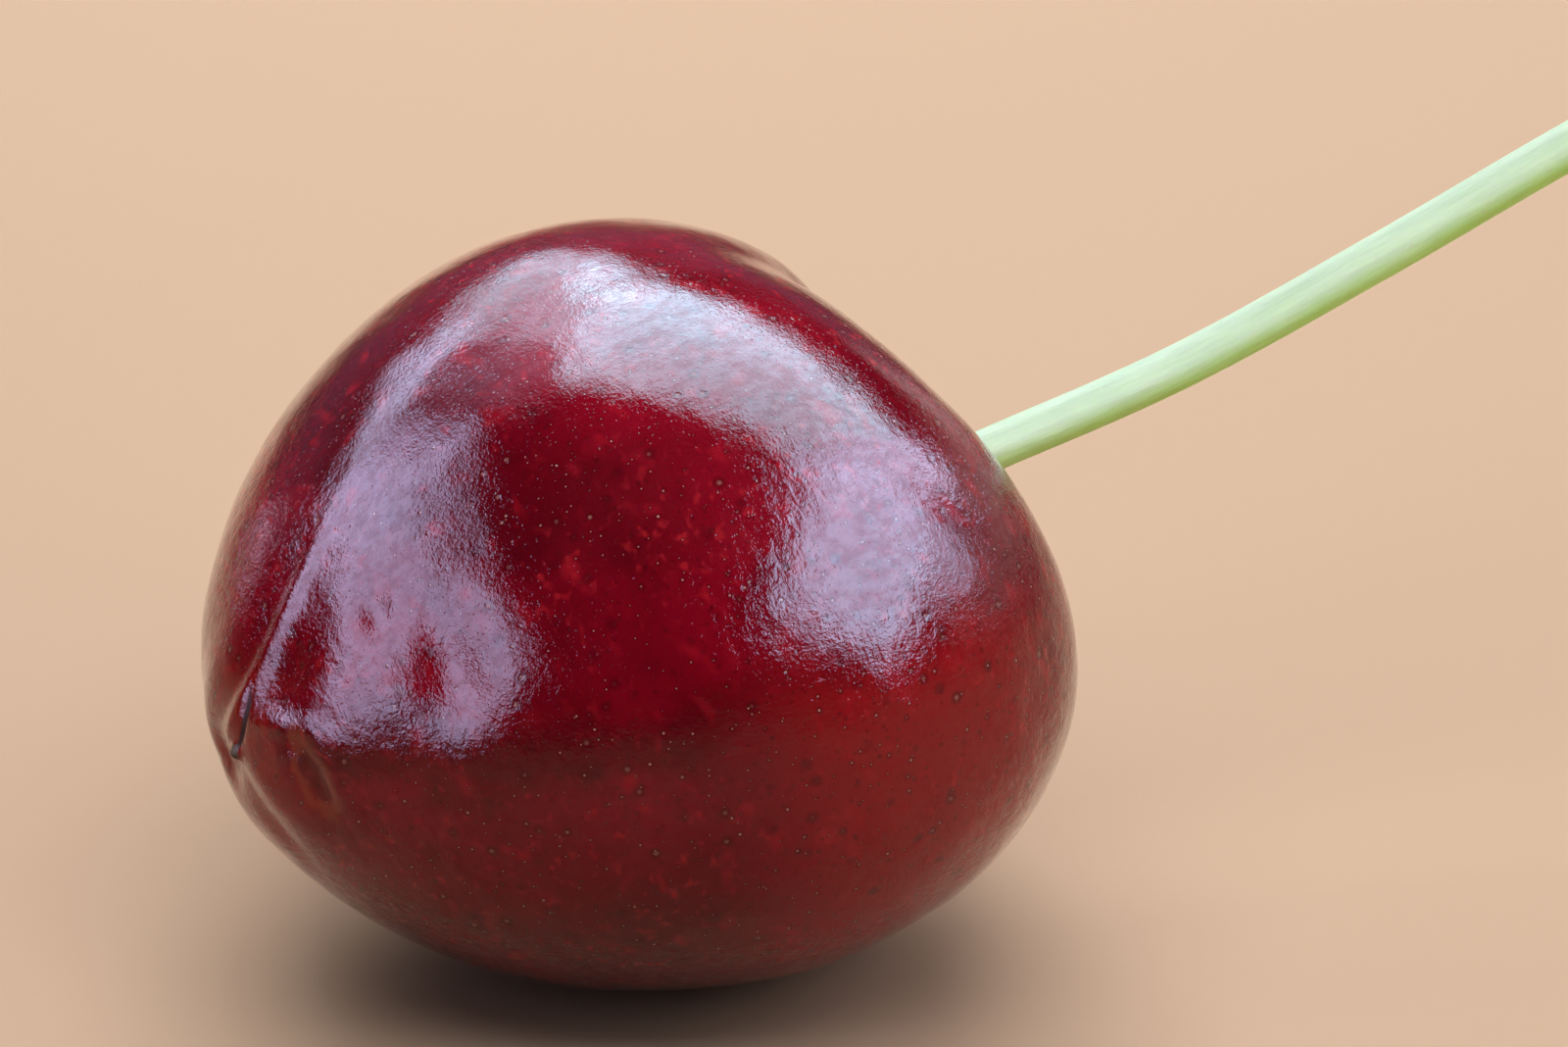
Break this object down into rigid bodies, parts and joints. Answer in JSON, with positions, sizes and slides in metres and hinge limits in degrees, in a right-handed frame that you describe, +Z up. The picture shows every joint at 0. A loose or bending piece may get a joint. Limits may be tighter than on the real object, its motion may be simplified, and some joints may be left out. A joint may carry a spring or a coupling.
{
  "type": "sweet cherry with stem",
  "caption": "Dark red heart-shaped sweet cherry lying on its back, with its thin curved green stem rising from the stem cavity.",
  "frame": {"origin": "middle of the small flat spot that the fruit rests on, on the surface", "axes": "+X the way the fruit points, from its scar to its stem, seen from above; +Z up"},
  "size_m": [0.0569, 0.0248, 0.027],
  "materials": {
    "cherry_skin": "glossy waxy skin, dark crimson, with fine pale dots",
    "stem_green": "satin fresh pale green stem, brown at its knob"
  },
  "bodies": {
    "root": {"cherry_fruit": "cherry_skin", "cherry_stem": "stem_green"}
  },
  "joints": []
}
